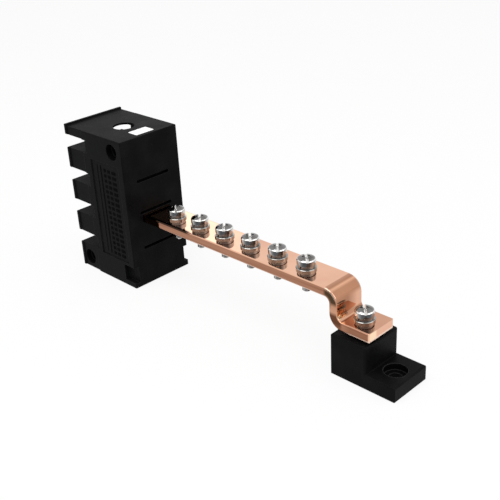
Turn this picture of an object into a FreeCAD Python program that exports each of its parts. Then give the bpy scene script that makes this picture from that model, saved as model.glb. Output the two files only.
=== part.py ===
import FreeCAD, Part
import math
import os
import Sketcher

# Earth terminal bar: a moulded stepped support holds one end of a joggled copper bar, and a
# small moulded foot holds the other. Screws with a spring washer and a flat washer sit in a row
# along the bar. X runs along the bar from the support to the foot, Z is up, and the origin is
# the middle of the support's base.

doc = FreeCAD.newDocument("earth_terminal_bar")
sheet = doc.addObject("Spreadsheet::Sheet", "sizes")

# Driving dimensions in millimetres. What is said to lie "from the front" is measured along X
# from the support's front face, the one that the bar comes out of.
driving_sizes = {
    # stepped support
    "support_depth": 54.2,
    "support_width": 42.0,
    "support_height": 93.0,
    "support_edge_radius": 0.6,
    "flange_thickness": 2.0,
    "flange_rise": 1.0,
    "finger_inset": 0.6,
    "finger_length": 17.0,
    "notch_height": 8.2,
    "notch_depth": 19.8,
    "lowest_notch": 16.2,
    "top_finger_thickness": 5.4,
    "finger_edge_radius": 0.5,
    "slot_length": 24.0,
    "slot_height": 2.0,
    "slot_depth": 3.0,
    "lowest_slot": 24.3,
    "upper_slot_from_top": 26.1,
    "slot_over_bar": 0.7,
    "roof_thickness": 1.2,
    "roof_pocket_width": 27.0,
    "roof_pocket_from_front": 15.8,
    "driver_hole_diameter": 12.9,
    "fixing_bore_diameter": 6.6,
    "fixing_bore_from_front": 22.9,
    "cross_hole_diameter": 8.4,
    "cross_ring_diameter": 9.8,
    "cross_ring_depth": 4.0,
    "upper_hole_from_front": 8.9,
    "upper_hole_from_top": 7.4,
    "lower_hole_from_back": 8.0,
    "lower_hole_height": 7.2,
    "panel_depth": 0.5,
    "panel_from_front": 4.6,
    "panel_length": 26.2,
    "panel_bottom": 15.2,
    "panel_from_top": 16.0,
    "toe_height": 3.3,
    "toe_recess_height": 10.4,
    "toe_recess_length": 9.9,
    "toe_recess_depth": 3.0,
    # copper bar
    "bar_width": 20.0,
    "bar_thickness": 5.0,
    "bar_edge_radius": 0.7,
    "bar_in_support": 16.0,
    "seat_end_gap": 0.5,
    "seat_side_gap": 0.5,
    "seat_top_gap": 0.15,
    "bend_radius": 3.0,
    "bend_from_front": 144.3,
    "bar_drop": 16.0,
    "bar_short_of_block": 0.6,
    "bar_corner_radius": 1.0,
    # terminals
    "first_terminal": 18.9,
    "terminal_row_length": 100.0,
    "thread_diameter": 5.0,
    "thread_gap": 0.05,
    "head_diameter": 10.0,
    "head_height": 4.2,
    "head_dome_radius": 9.0,
    "head_rim_radius": 1.0,
    "driver_slot_width": 1.4,
    "driver_slot_depth": 1.9,
    "cross_width": 1.3,
    "cross_span": 5.4,
    "cross_depth": 2.6,
    "tip_chamfer": 0.8,
    "terminal_screw_length": 16.0,
    "foot_screw_length": 16.0,
    "foot_hole_diameter": 5.5,
    "washer_bore_gap": 0.15,
    "spring_washer_diameter": 9.2,
    "spring_washer_thickness": 1.8,
    "spring_washer_split": 0.7,
    "spring_washer_slant": 0.8,
    "flat_washer_diameter": 11.0,
    "flat_washer_thickness": 1.2,
    "flat_washer_chamfer": 0.25,
    # foot and its insert
    "foot_from_front": 145.3,
    "block_length": 21.7,
    "foot_length": 39.0,
    "foot_width": 26.3,
    "block_height": 23.1,
    "base_thickness": 8.0,
    "foot_edge_radius": 0.8,
    "foot_corner_radius": 0.5,
    "block_corner_radius": 1.4,
    "foot_hole_from_end": 8.9,
    "foot_fixing_diameter": 6.4,
    "counterbore_diameter": 12.2,
    "counterbore_depth": 3.8,
    "insert_flats": 10.0,
    "insert_length": 15.0,
    "insert_proud": 1.2,
    # how far a cut runs past the face it opens through
    "cut_overrun": 1.0,
}
upper_terminals = 6
notch_count = 4

for row, (alias, value) in enumerate(driving_sizes.items(), start=1):
    sheet.set(f"A{row}", alias)
    sheet.set(f"B{row}", str(value))
    sheet.setAlias(f"B{row}", alias)

doc.recompute()

# Places that follow from the driving dimensions, as expressions on the sheet
front = "(support_depth / 2)"
back = "(0 - support_depth / 2)"
side = "(support_width / 2)"
lower_underside = "(block_height + insert_proud)"
lower_middle = f"({lower_underside} + bar_thickness / 2)"
lower_top = f"({lower_underside} + bar_thickness)"
bar_underside = f"({lower_underside} + bar_drop)"
bar_middle = f"({bar_underside} + bar_thickness / 2)"
bar_top = f"({bar_underside} + bar_thickness)"
top_notch = "(support_height - top_finger_thickness - notch_height)"
notch_pitch = f"(({top_notch} - lowest_notch) / {notch_count - 1})"
terminal_spacing = f"(terminal_row_length / {upper_terminals - 1})"
foot_start = "(support_depth / 2 + foot_from_front)"
block_end = "(support_depth / 2 + foot_from_front + block_length)"
foot_end = "(support_depth / 2 + foot_from_front + foot_length)"
foot_screw_x = "(support_depth / 2 + foot_from_front + block_length / 2)"
washer_stack = "(flat_washer_thickness + spring_washer_thickness)"


def size(expression):
    """The value of an expression on the sheet, for placing geometry before it is constrained."""
    return float(sheet.evalExpression(expression))


def on_sheet(expression):
    """The same expression as another object writes it: each alias gets the sheet's name."""
    words = expression.replace("(", " ( ").replace(")", " ) ").split()
    return " ".join("sizes." + word if hasattr(sheet, word) else word for word in words)


def new_body(label):
    body = doc.addObject("PartDesign::Body", label)
    body.Label = label
    return body


def new_sketch(body, plane, name, offset=None):
    """A sketch on one of the body's own origin planes, moved along its normal by an offset."""
    support = next(f for f in body.Origin.OriginFeatures if f.Role == plane)
    sketch = body.newObject("Sketcher::SketchObject", name)
    sketch.AttachmentSupport = [(support, "")]
    sketch.MapMode = "FlatFace"
    if offset is not None:
        sketch.setExpression("AttachmentOffset.Base.z", on_sheet(offset))
    return sketch


def constrain(sketch, kind, name, expression, *where):
    """A dimension of the sketch, bound to the sheet."""
    index = sketch.addConstraint(Sketcher.Constraint(kind, *where, size(expression)))
    sketch.renameConstraint(index, name)
    sketch.setExpression("Constraints." + name, on_sheet(expression))


def add_rectangle(sketch, left, right, low, high, name="side"):
    """Four sides, each held by its distance from the sketch's origin."""
    x0, x1, y0, y1 = size(left), size(right), size(low), size(high)
    corners = [(x0, y0), (x1, y0), (x1, y1), (x0, y1)]
    points = [FreeCAD.Vector(x, y, 0) for x, y in corners]
    first = sketch.GeometryCount
    for i in range(4):
        sketch.addGeometry(Part.LineSegment(points[i], points[(i + 1) % 4]))
    for i in range(4):
        sketch.addConstraint(Sketcher.Constraint("Coincident", first + i, 2, first + (i + 1) % 4, 1))
        turn = "Horizontal" if i % 2 == 0 else "Vertical"
        sketch.addConstraint(Sketcher.Constraint(turn, first + i))
    constrain(sketch, "DistanceX", name + "_left", left, first, 1)
    constrain(sketch, "DistanceX", name + "_right", right, first + 1, 1)
    constrain(sketch, "DistanceY", name + "_low", low, first, 1)
    constrain(sketch, "DistanceY", name + "_high", high, first + 2, 1)


def add_circle(sketch, x, y, diameter, name="ring"):
    centre = FreeCAD.Vector(size(x), size(y), 0)
    index = sketch.addGeometry(Part.Circle(centre, FreeCAD.Vector(0, 0, 1), size(diameter) / 2))
    constrain(sketch, "DistanceX", name + "_x", x, index, 3)
    constrain(sketch, "DistanceY", name + "_y", y, index, 3)
    constrain(sketch, "Diameter", name + "_diameter", diameter, index)


def add_outline(sketch, corners):
    """A closed outline of straight sides, each corner held by its two coordinates."""
    points = [FreeCAD.Vector(size(x), size(y), 0) for x, y in corners]
    count = len(points)
    for i in range(count):
        sketch.addGeometry(Part.LineSegment(points[i], points[(i + 1) % count]))
    for i in range(count):
        sketch.addConstraint(Sketcher.Constraint("Coincident", i, 2, (i + 1) % count, 1))
    for i, (x, y) in enumerate(corners):
        constrain(sketch, "DistanceX", f"corner_{i}_x", x, i, 1)
        constrain(sketch, "DistanceY", f"corner_{i}_y", y, i, 1)


def add_hexagon(sketch, x, flats):
    """A hexagon centred on the X axis, with two of its flats facing sideways."""
    corners = [(1, 0), (0.5, 1), (-0.5, 1), (-1, 0), (-0.5, -1), (0.5, -1)]
    outline = [(f"{x} + ({u}) * {flats} / 3 ^ 0.5", f"({v}) * {flats} / 2") for u, v in corners]
    add_outline(sketch, outline)


def pad(body, sketch, length, symmetric=False, name=None):
    feature = body.newObject("PartDesign::Pad", name or sketch.Name + "_pad")
    feature.Profile = sketch
    if symmetric:
        feature.SideType = "Symmetric"
    feature.setExpression("Length", on_sheet(length))
    return feature


def pocket(body, sketch, length=None, symmetric=False, reverse=False, name=None):
    """A cut of one length, or through everything where no length is given."""
    feature = body.newObject("PartDesign::Pocket", name or sketch.Name + "_cut")
    feature.Profile = sketch
    if symmetric:
        feature.SideType = "Symmetric"
    feature.Reversed = reverse
    if length is None:
        feature.Type = "ThroughAll"
    else:
        feature.setExpression("Length", on_sheet(length))
    return feature


def repeat(body, feature, axis, count, pitch):
    """Copies of a feature along one of the body's own axes."""
    line = next(f for f in body.Origin.OriginFeatures if f.Role == axis)
    pattern = body.newObject("PartDesign::LinearPattern", feature.Name + "_row")
    pattern.Originals = [feature]
    pattern.Direction = (line, [""])
    pattern.Mode = "Spacing"
    pattern.Occurrences = count
    pattern.setExpression("Offset", on_sheet(pitch))
    body.Tip = pattern
    return pattern


def mirror(body, features, plane):
    support = next(f for f in body.Origin.OriginFeatures if f.Role == plane)
    mirrored = body.newObject("PartDesign::Mirrored", features[0].Name + "_mirror")
    mirrored.Originals = features
    mirrored.MirrorPlane = (support, [""])
    body.Tip = mirrored
    return mirrored


def edge_names(shape, wanted):
    """The edges whose two ends both satisfy a test."""
    names = []
    for i, edge in enumerate(shape.Edges, start=1):
        if all(wanted(vertex.Point) for vertex in edge.Vertexes):
            names.append(f"Edge{i}")
    return names


def round_edges(body, names, radius, label):
    base = body.Tip
    feature = body.newObject("PartDesign::Fillet", label)
    feature.Base = (base, names)
    feature.setExpression("Radius", on_sheet(radius))
    body.Tip = feature
    doc.recompute()
    return feature


def chamfer_edges(body, names, length, label):
    base = body.Tip
    feature = body.newObject("PartDesign::Chamfer", label)
    feature.Base = (base, names)
    feature.setExpression("Size", on_sheet(length))
    body.Tip = feature
    doc.recompute()
    return feature


# Stepped support: a tall block with four open notches in its back, for flat bars that cross it
def make_support():
    body = new_body("stepped_support")

    block = new_sketch(body, "XY_Plane", "support_block")
    add_rectangle(block, back, front, f"0 - {side}", side)
    pad(body, block, "support_height")

    # the fingers' outer ends carry a flange that stands a little above the top
    lip = new_sketch(body, "XY_Plane", "support_lip", "support_height")
    add_rectangle(lip, back, f"{back} + flange_thickness", f"0 - {side}", side)
    pad(body, lip, "flange_rise")
    doc.recompute()

    x_front, x_back, y_side, roof = size(front), size(back), size(side), size("support_height")
    x_lip = size(f"{back} + flange_thickness")

    def on_side(p):
        return abs(abs(p.y) - y_side) < 0.01

    def outer_edge(edge):
        ends = [vertex.Point for vertex in edge.Vertexes]
        if all(on_side(p) and abs(p.x - x_front) < 0.01 for p in ends):
            return True
        if all(abs(p.z - roof) < 0.01 and p.x > x_lip - 0.01 for p in ends):
            return abs(ends[0].x - x_lip) > 0.01 or abs(ends[1].x - x_lip) > 0.01
        return False

    def flange_edge(edge):
        ends = [vertex.Point for vertex in edge.Vertexes]
        return all(abs(p.x - x_back) < 0.01 and (on_side(p) or p.z > roof) for p in ends)

    tip = body.Tip.Shape
    names = [f"Edge{i}" for i, edge in enumerate(tip.Edges, start=1) if outer_edge(edge)]
    round_edges(body, names, "support_edge_radius", "support_corners")
    tip = body.Tip.Shape
    names = [f"Edge{i}" for i, edge in enumerate(tip.Edges, start=1) if flange_edge(edge)]
    names = [n for n in names if tip.getElement(n).BoundBox.ZMin > -0.01]
    names = [n for n in names if tip.getElement(n).BoundBox.ZMax > 0.01]
    round_edges(body, names, "finger_edge_radius", "flange_corners")

    # behind the flange the fingers' sides are set in
    inset = new_sketch(body, "XY_Plane", "finger_side")
    add_rectangle(inset, f"{back} + flange_thickness", f"{back} + finger_length",
                  f"{side} - finger_inset", f"{side} + cut_overrun")
    inset_cut = pocket(body, inset, "support_height", reverse=True)
    doc.recompute()
    mirror(body, [inset_cut], "XZ_Plane")

    notch = new_sketch(body, "XZ_Plane", "notch")
    add_rectangle(notch, f"{back} - cut_overrun", f"{back} + notch_depth",
                  "lowest_notch", "lowest_notch + notch_height")
    notch_cut = pocket(body, notch, "support_width + 2 * cut_overrun", symmetric=True)
    doc.recompute()
    repeat(body, notch_cut, "Z_Axis", notch_count, notch_pitch)

    # three slots in the front face, the middle one just over the bar's seat
    slots = new_sketch(body, "YZ_Plane", "front_slots", front)
    for name, level in (("lowest", "lowest_slot"), ("upper", "support_height - upper_slot_from_top"),
                        ("middle", f"{bar_top} + slot_over_bar + slot_height / 2")):
        add_rectangle(slots, "0 - slot_length / 2", "slot_length / 2",
                      f"{level} - slot_height / 2", f"{level} + slot_height / 2", name)
    pocket(body, slots, "slot_depth")
    seat = new_sketch(body, "YZ_Plane", "bar_seat", front)
    add_rectangle(seat, "0 - bar_width / 2 - seat_side_gap", "bar_width / 2 + seat_side_gap",
                  bar_underside, f"{bar_top} + seat_top_gap")
    pocket(body, seat, "bar_in_support + seat_end_gap")

    # the driver's hole in the roof opens into a hollow that runs back over the top notch, and the
    # fixing bore goes down from its floor
    roof = new_sketch(body, "XY_Plane", "roof_pocket", "support_height - roof_thickness")
    add_rectangle(roof, f"{back} + flange_thickness", f"{front} - roof_pocket_from_front",
                  "0 - roof_pocket_width / 2", "roof_pocket_width / 2")
    pocket(body, roof, f"support_height - roof_thickness - {top_notch}")
    driver = new_sketch(body, "XY_Plane", "driver_hole", "support_height")
    add_circle(driver, f"{front} - fixing_bore_from_front", "0", "driver_hole_diameter")
    pocket(body, driver, "roof_thickness + cut_overrun")
    bore = new_sketch(body, "XY_Plane", "fixing_bore")
    add_circle(bore, f"{front} - fixing_bore_from_front", "0", "fixing_bore_diameter")
    pocket(body, bore, f"{top_notch} + cut_overrun", reverse=True)

    # two holes cross the support, each with a ring sunk round it on both sides
    for name, x, z in (("upper", f"{front} - upper_hole_from_front", "support_height - upper_hole_from_top"),
                       ("lower", f"{back} + lower_hole_from_back", "lower_hole_height")):
        hole = new_sketch(body, "XZ_Plane", f"{name}_hole")
        add_circle(hole, x, z, "cross_hole_diameter")
        pocket(body, hole, "support_width + 2 * cut_overrun", symmetric=True)
        ring = new_sketch(body, "XZ_Plane", f"{name}_ring", side)
        add_circle(ring, x, z, "cross_ring_diameter")
        ring_cut = pocket(body, ring, "cross_ring_depth")
        doc.recompute()
        mirror(body, [ring_cut], "XZ_Plane")

    # shallow panels in both sides
    panel = new_sketch(body, "XZ_Plane", "side_panel", side)
    add_rectangle(panel, f"{front} - panel_from_front - panel_length", f"{front} - panel_from_front",
                  "panel_bottom", "support_height - panel_from_top")
    panel_cut = pocket(body, panel, "panel_depth")
    doc.recompute()
    mirror(body, [panel_cut], "XZ_Plane")

    # the front corners are cut back just above the base, which leaves a toe
    toe = new_sketch(body, "XZ_Plane", "toe_recess", side)
    add_rectangle(toe, f"{front} - toe_recess_length", f"{front} + cut_overrun",
                  "toe_height", "toe_height + toe_recess_height")
    toe_cut = pocket(body, toe, "toe_recess_depth")
    doc.recompute()
    mirror(body, [toe_cut], "XZ_Plane")
    doc.recompute()

    # the notches' mouths are eased
    names = edge_names(body.Tip.Shape, lambda p: abs(p.x - x_back) < 0.01)
    names = [n for n in names if abs(body.Tip.Shape.getElement(n).tangentAt(0).y) > 0.9]
    names = [n for n in names if body.Tip.Shape.getElement(n).BoundBox.ZMin > 0.01]
    round_edges(body, names, "finger_edge_radius", "finger_ends")
    return body


# Copper bar: one flat strip with rolled edges, bent down to the foot and up into the support
def make_bar():
    body = new_body("copper_bar")

    path = new_sketch(body, "XZ_Plane", "bar_path")
    x_start = f"{front} - bar_in_support"
    x_bend = f"{front} + bend_from_front"
    radius = "(bend_radius + bar_thickness / 2)"
    x_end = f"{block_end} - bar_short_of_block"
    x0, xb, x1, r = size(x_start), size(x_bend), size(x_end), size(radius)
    high, low = size(bar_middle), size(lower_middle)
    vector = FreeCAD.Vector
    path.addGeometry(Part.LineSegment(vector(x0, high, 0), vector(xb - r, high, 0)))
    upper_bend = Part.Circle(vector(xb - r, high - r, 0), vector(0, 0, 1), r)
    path.addGeometry(Part.ArcOfCircle(upper_bend, 0, math.pi / 2))
    path.addGeometry(Part.LineSegment(vector(xb, high - r, 0), vector(xb, low + r, 0)))
    lower_bend = Part.Circle(vector(xb + r, low + r, 0), vector(0, 0, 1), r)
    path.addGeometry(Part.ArcOfCircle(lower_bend, math.pi, 3 * math.pi / 2))
    path.addGeometry(Part.LineSegment(vector(xb + r, low, 0), vector(x1, low, 0)))
    for rule in (("Horizontal", 0), ("Vertical", 2), ("Horizontal", 4), ("Tangent", 0, 2, 1, 2),
                 ("Tangent", 1, 1, 2, 1), ("Tangent", 2, 2, 3, 1), ("Tangent", 3, 2, 4, 1)):
        path.addConstraint(Sketcher.Constraint(*rule))
    constrain(path, "DistanceX", "start_x", x_start, 0, 1)
    constrain(path, "DistanceY", "start_level", bar_middle, 0, 1)
    constrain(path, "Radius", "upper_bend", radius, 1)
    constrain(path, "DistanceX", "bend_x", x_bend, 2, 1)
    constrain(path, "Radius", "lower_bend", radius, 3)
    constrain(path, "DistanceX", "end_x", x_end, 4, 2)
    constrain(path, "DistanceY", "end_level", lower_middle, 4, 2)
    doc.recompute()

    # the strip's section, with its long edges rolled round
    section = new_sketch(body, "YZ_Plane", "bar_section", x_start)
    w, t, e = size("bar_width / 2"), size("bar_thickness / 2"), size("bar_edge_radius")
    level = size(bar_middle)
    centres = [(w - e, level - t + e), (w - e, level + t - e), (e - w, level + t - e), (e - w, level - t + e)]
    for i, (y, z) in enumerate(centres):
        circle = Part.Circle(vector(y, z, 0), vector(0, 0, 1), e)
        section.addGeometry(Part.ArcOfCircle(circle, (i - 1) * math.pi / 2, i * math.pi / 2))
    sides = [((w, level - t + e), (w, level + t - e)), ((w - e, level + t), (e - w, level + t)),
             ((-w, level + t - e), (-w, level - t + e)), ((e - w, level - t), (w - e, level - t))]
    for (ya, za), (yb, zb) in sides:
        section.addGeometry(Part.LineSegment(vector(ya, za, 0), vector(yb, zb, 0)))
    for i in range(4):
        section.addConstraint(Sketcher.Constraint("Tangent", i, 2, 4 + i, 1))
        section.addConstraint(Sketcher.Constraint("Tangent", 4 + i, 2, (i + 1) % 4, 1))
        section.addConstraint(Sketcher.Constraint("Vertical" if i % 2 == 0 else "Horizontal", 4 + i))
    for i in range(3):
        section.addConstraint(Sketcher.Constraint("Equal", i, i + 1))
    constrain(section, "Radius", "edge_radius", "bar_edge_radius", 0)
    constrain(section, "DistanceX", "right", "bar_width / 2", 4, 1)
    constrain(section, "DistanceX", "left", "0 - bar_width / 2", 6, 1)
    constrain(section, "DistanceY", "top", bar_top, 5, 1)
    constrain(section, "DistanceY", "bottom", bar_underside, 7, 1)

    strip = body.newObject("PartDesign::AdditivePipe", "bar_strip")
    strip.Profile = section
    strip.Spine = (path, ["Edge1", "Edge2", "Edge3", "Edge4", "Edge5"])
    doc.recompute()

    # the two corners at the foot's end are rounded in plan
    corner = new_sketch(body, "XY_Plane", "bar_corner", lower_top)
    x1, half, r = size(x_end), size("bar_width / 2"), size("bar_corner_radius")
    beyond = x1 + size("cut_overrun")
    arc = Part.Circle(vector(x1 - r, half - r, 0), vector(0, 0, 1), r)
    corner.addGeometry(Part.ArcOfCircle(arc, 0, math.pi / 2))
    corner.addGeometry(Part.LineSegment(vector(x1 - r, half, 0), vector(beyond, half, 0)))
    corner.addGeometry(Part.LineSegment(vector(beyond, half, 0), vector(beyond, half - r, 0)))
    corner.addGeometry(Part.LineSegment(vector(beyond, half - r, 0), vector(x1, half - r, 0)))
    for rule in (("Tangent", 0, 2, 1, 1), ("Coincident", 1, 2, 2, 1), ("Coincident", 2, 2, 3, 1),
                 ("Coincident", 3, 2, 0, 1), ("Horizontal", 1), ("Vertical", 2), ("Horizontal", 3)):
        corner.addConstraint(Sketcher.Constraint(*rule))
    constrain(corner, "Radius", "corner_radius", "bar_corner_radius", 0)
    constrain(corner, "DistanceX", "end_x", x_end, 0, 1)
    constrain(corner, "DistanceX", "beyond_x", f"{x_end} + cut_overrun", 2, 1)
    constrain(corner, "DistanceY", "edge_y", "bar_width / 2", 2, 1)
    corner_cut = pocket(body, corner, "bar_thickness")
    doc.recompute()
    mirror(body, [corner_cut], "XZ_Plane")

    # one tapped hole for each upper terminal, and a clear one over the foot
    taps = new_sketch(body, "XY_Plane", "tapped_hole", bar_top)
    add_circle(taps, f"{front} + first_terminal", "0", "thread_diameter")
    tap_cut = pocket(body, taps, "bar_thickness")
    doc.recompute()
    repeat(body, tap_cut, "X_Axis", upper_terminals, terminal_spacing)
    clear = new_sketch(body, "XY_Plane", "clear_hole", lower_top)
    add_circle(clear, foot_screw_x, "0", "foot_hole_diameter")
    pocket(body, clear, "bar_thickness")
    doc.recompute()
    return body


# Foot: a moulded block under the bar with a base that reaches past it for the fixing screw
def make_foot():
    body = new_body("foot_insulator")

    profile = new_sketch(body, "XZ_Plane", "foot_profile")
    add_outline(profile, [(foot_start, "0"), (foot_end, "0"), (foot_end, "base_thickness"),
                          (block_end, "base_thickness"), (block_end, "block_height"),
                          (foot_start, "block_height")])
    pad(body, profile, "foot_width", symmetric=True)
    doc.recompute()

    x0, x1, x2, w = size(foot_start), size(block_end), size(foot_end), size("foot_width / 2")
    top, base = size("block_height"), size("base_thickness")

    def uprights(*places):
        names = edge_names(body.Tip.Shape, lambda p: abs(abs(p.y) - w) < 0.01
                           and any(abs(p.x - x) < 0.01 for x in places))
        return [n for n in names if abs(body.Tip.Shape.getElement(n).tangentAt(0).z) > 0.9]

    round_edges(body, uprights(x0, x2), "foot_corner_radius", "foot_corners")
    round_edges(body, uprights(x1), "block_corner_radius", "block_corners")

    def rim(p):
        return abs(p.z - top) < 0.01 or (abs(p.z - base) < 0.01 and p.x > x1 + 0.01)

    names = edge_names(body.Tip.Shape, rim)
    round_edges(body, names, "foot_edge_radius", "foot_rims")

    # counterbored fixing hole in the base
    hole = new_sketch(body, "XY_Plane", "foot_fixing_hole", "base_thickness")
    add_circle(hole, f"{foot_end} - foot_hole_from_end", "0", "foot_fixing_diameter")
    pocket(body, hole, "base_thickness + cut_overrun")
    counterbore = new_sketch(body, "XY_Plane", "foot_counterbore", "base_thickness")
    add_circle(counterbore, f"{foot_end} - foot_hole_from_end", "0", "counterbore_diameter")
    pocket(body, counterbore, "counterbore_depth")

    # socket for the insert
    socket = new_sketch(body, "XY_Plane", "insert_socket", "block_height")
    add_hexagon(socket, foot_screw_x, "insert_flats")
    pocket(body, socket, f"block_height - {lower_underside} + insert_length")
    doc.recompute()
    return body


# Insert: a tapped hexagonal nut bar moulded into the foot, a little proud of it
def make_insert():
    body = new_body("foot_insert")
    blank = new_sketch(body, "XY_Plane", "insert_blank", f"{lower_underside} - insert_length")
    add_hexagon(blank, foot_screw_x, "insert_flats")
    pad(body, blank, "insert_length")
    tap = new_sketch(body, "XY_Plane", "insert_tap", lower_underside)
    add_circle(tap, foot_screw_x, "0", "thread_diameter")
    pocket(body, tap, "insert_length")
    doc.recompute()
    return body


def place(body, x, z):
    body.setExpression("Placement.Base.x", on_sheet(x))
    body.setExpression("Placement.Base.z", on_sheet(z))


# Screw: a pan head with a driver slot and a cross in it, on a plain shank with a chamfered tip
def make_screw(label, x, level, length):
    body = new_body(label)
    profile = new_sketch(body, "XZ_Plane", label + "_profile")
    head_base = washer_stack
    head_top = f"({washer_stack} + head_height)"
    tip = f"({washer_stack} - {length})"
    shank = "(thread_diameter / 2 - thread_gap)"
    head = "(head_diameter / 2)"
    corners = [("0", tip), (f"{shank} - tip_chamfer", tip), (shank, f"{tip} + tip_chamfer"),
               (shank, head_base), (head, head_base)]
    vector, upright = FreeCAD.Vector, FreeCAD.Vector(0, 0, 1)
    crown, dome, soft = size(head_top), size("head_dome_radius"), size("head_rim_radius")
    reach = size(head) - soft
    points = [vector(size(u), size(v), 0) for u, v in corners]
    rim_centre = vector(reach, crown - dome + math.sqrt((dome - soft) ** 2 - reach ** 2), 0)
    slope = math.asin(reach / (dome - soft))
    points.append(vector(size(head), rim_centre.y, 0))
    for i in range(5):
        profile.addGeometry(Part.LineSegment(points[i], points[i + 1]))
    rim = Part.Circle(rim_centre, upright, soft)
    profile.addGeometry(Part.ArcOfCircle(rim, 0, math.pi / 2 - slope))
    top = Part.Circle(vector(0, crown - dome, 0), upright, dome)
    profile.addGeometry(Part.ArcOfCircle(top, math.pi / 2 - slope, math.pi / 2))
    profile.addGeometry(Part.LineSegment(vector(0, crown, 0), points[0]))
    for i in range(4):
        profile.addConstraint(Sketcher.Constraint("Coincident", i, 2, i + 1, 1))
    for rule in (("Tangent", 4, 2, 5, 1), ("Tangent", 5, 2, 6, 1), ("Coincident", 6, 2, 7, 1),
                 ("Coincident", 7, 2, 0, 1), ("PointOnObject", 6, 3, -2), ("PointOnObject", 6, 2, -2),
                 ("Vertical", 4)):
        profile.addConstraint(Sketcher.Constraint(*rule))
    for i, (u, v) in enumerate(corners):
        constrain(profile, "DistanceX", f"corner_{i}_x", u, i, 1)
        constrain(profile, "DistanceY", f"corner_{i}_y", v, i, 1)
    constrain(profile, "DistanceY", "crown_level", head_top, 7, 1)
    constrain(profile, "Radius", "rim_radius", "head_rim_radius", 5)
    constrain(profile, "Radius", "dome_radius", "head_dome_radius", 6)
    turned = body.newObject("PartDesign::Revolution", label + "_turned")
    turned.Profile = profile
    turned.ReferenceAxis = (profile, ["V_Axis"])
    turned.Angle = 360
    doc.recompute()

    slot = new_sketch(body, "XY_Plane", label + "_slot", head_top)
    add_rectangle(slot, "0 - driver_slot_width / 2", "driver_slot_width / 2",
                  f"0 - {head} - cut_overrun", f"{head} + cut_overrun")
    pocket(body, slot, "driver_slot_depth")
    for arm, across, along in (("long", "cross_span", "cross_width"),
                               ("short", "cross_width", "cross_span")):
        cross = new_sketch(body, "XY_Plane", f"{label}_{arm}_arm", head_top)
        add_rectangle(cross, f"0 - {across} / 2", f"{across} / 2", f"0 - {along} / 2", f"{along} / 2")
        pocket(body, cross, "cross_depth")
    place(body, x, level)
    doc.recompute()
    return body


# Spring washer: a square-section ring, split once on a slant
def make_spring_washer(label, x, level):
    body = new_body(label)
    ring = new_sketch(body, "XY_Plane", label + "_ring", "flat_washer_thickness")
    add_circle(ring, "0", "0", "spring_washer_diameter", "outside")
    add_circle(ring, "0", "0", "thread_diameter + 2 * washer_bore_gap", "bore")
    pad(body, ring, "spring_washer_thickness")
    split = new_sketch(body, "XZ_Plane", label + "_split")
    low, high = "flat_washer_thickness", washer_stack
    lean, half = "spring_washer_slant / 2", "spring_washer_split / 2"
    add_outline(split, [(f"0 - {half} - {lean}", low), (f"{half} - {lean}", low),
                        (f"{half} + {lean}", high), (f"{lean} - {half}", high)])
    pocket(body, split, "spring_washer_diameter", reverse=True)
    place(body, x, level)
    doc.recompute()
    return body


# Flat washer: a plain ring, chamfered round its upper edge
def make_flat_washer(label, x, level):
    body = new_body(label)
    ring = new_sketch(body, "XY_Plane", label + "_ring")
    add_circle(ring, "0", "0", "flat_washer_diameter", "outside")
    add_circle(ring, "0", "0", "thread_diameter + 2 * washer_bore_gap", "bore")
    pad(body, ring, "flat_washer_thickness")
    doc.recompute()
    radius, top = size("flat_washer_diameter / 2"), size("flat_washer_thickness")

    def upper_rim(p):
        return abs(p.z - top) < 0.01 and abs(math.hypot(p.x, p.y) - radius) < 0.01

    names = edge_names(body.Tip.Shape, upper_rim)
    chamfer_edges(body, names, "flat_washer_chamfer", label + "_edge")
    place(body, x, level)
    doc.recompute()
    return body


pieces = [make_support(), make_bar(), make_foot(), make_insert()]
terminals = [(f"{front} + first_terminal + {i} * {terminal_spacing}", bar_top, "terminal_screw_length")
             for i in range(upper_terminals)]
terminals.append((foot_screw_x, lower_top, "foot_screw_length"))
for number, (x, level, length) in enumerate(terminals, start=1):
    pieces.append(make_screw(f"terminal_screw_{number}", x, level, length))
    pieces.append(make_spring_washer(f"spring_washer_{number}", x, level))
    pieces.append(make_flat_washer(f"flat_washer_{number}", x, level))

doc.recompute()
for item in doc.Objects:
    if "Invalid" in item.State or "Error" in item.State:
        raise RuntimeError(f"{item.Label} failed: {item.State}")
for body in pieces:
    shape = body.Shape
    if shape.isNull() or not shape.isValid() or len(shape.Solids) != 1:
        raise RuntimeError(f"{body.Label} isn't one sound solid")

os.makedirs("parts", exist_ok=True)
for body in pieces:
    body.Shape.exportStep(f"parts/{body.Label}.step")
    box = body.Shape.BoundBox
    print(f"{body.Label}: {body.Shape.Volume:.1f} mm3, X {box.XMin:.2f} to {box.XMax:.2f},"
          f" Y {box.YMin:.2f} to {box.YMax:.2f}, Z {box.ZMin:.2f} to {box.ZMax:.2f}")
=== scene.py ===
import math

import bpy
from mathutils import Matrix, Vector


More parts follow.
